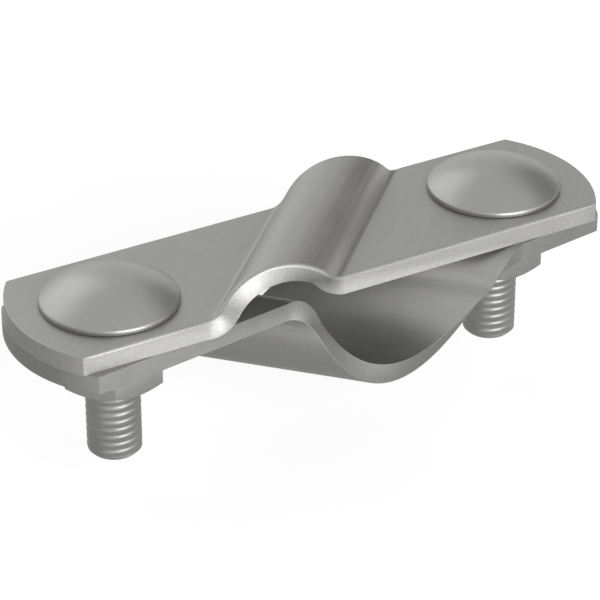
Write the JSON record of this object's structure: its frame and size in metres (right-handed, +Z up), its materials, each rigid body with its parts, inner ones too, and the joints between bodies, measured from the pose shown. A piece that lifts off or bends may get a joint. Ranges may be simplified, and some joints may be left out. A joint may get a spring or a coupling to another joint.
{
  "type": "bolted cross clamp",
  "caption": "Cross clamp of folded strip that grips an earth rod and a crossing round conductor between two bolted halves.",
  "frame": {"origin": "midway between the two bolts, level with the ends of their shanks", "axes": "+X through both bolts from the left one to the right one, +Z up through the bolt heads, +Y to the back"},
  "size_m": [0.115, 0.0344, 0.0364],
  "materials": {
    "strip": "blasted satin stainless steel",
    "bolt": "smooth stainless steel, satin head and bright thread",
    "nut": "smooth stainless steel with satin flats"
  },
  "bodies": {
    "upper": {"upper_plate": "strip", "bolt_left": "bolt", "bolt_right": "bolt"},
    "lower": {"lower_plate": "strip"},
    "nut_left": {"nut_left": "nut"},
    "nut_right": {"nut_right": "nut"}
  },
  "joints": [
    {"name": "clamp_open", "type": "slide", "parent": "upper", "child": "lower", "axis": [0, 0, -1], "range_m": [0, 0.0135]},
    {"name": "nut_left_turn", "type": "hinge", "parent": "lower", "child": "nut_left", "pos_m": [-0.04, 0, 0.0188], "axis": [0, 0, -1], "range_deg": [0, 3240]},
    {"name": "nut_right_turn", "type": "hinge", "parent": "lower", "child": "nut_right", "pos_m": [0.04, 0, 0.0188], "axis": [0, 0, -1], "range_deg": [0, 3240]}
  ],
  "couplings": [
    {"joint": "nut_left_turn", "follows": "clamp_open", "rad_per_m": 4188.8},
    {"joint": "nut_right_turn", "follows": "clamp_open", "rad_per_m": 4188.8}
  ]
}
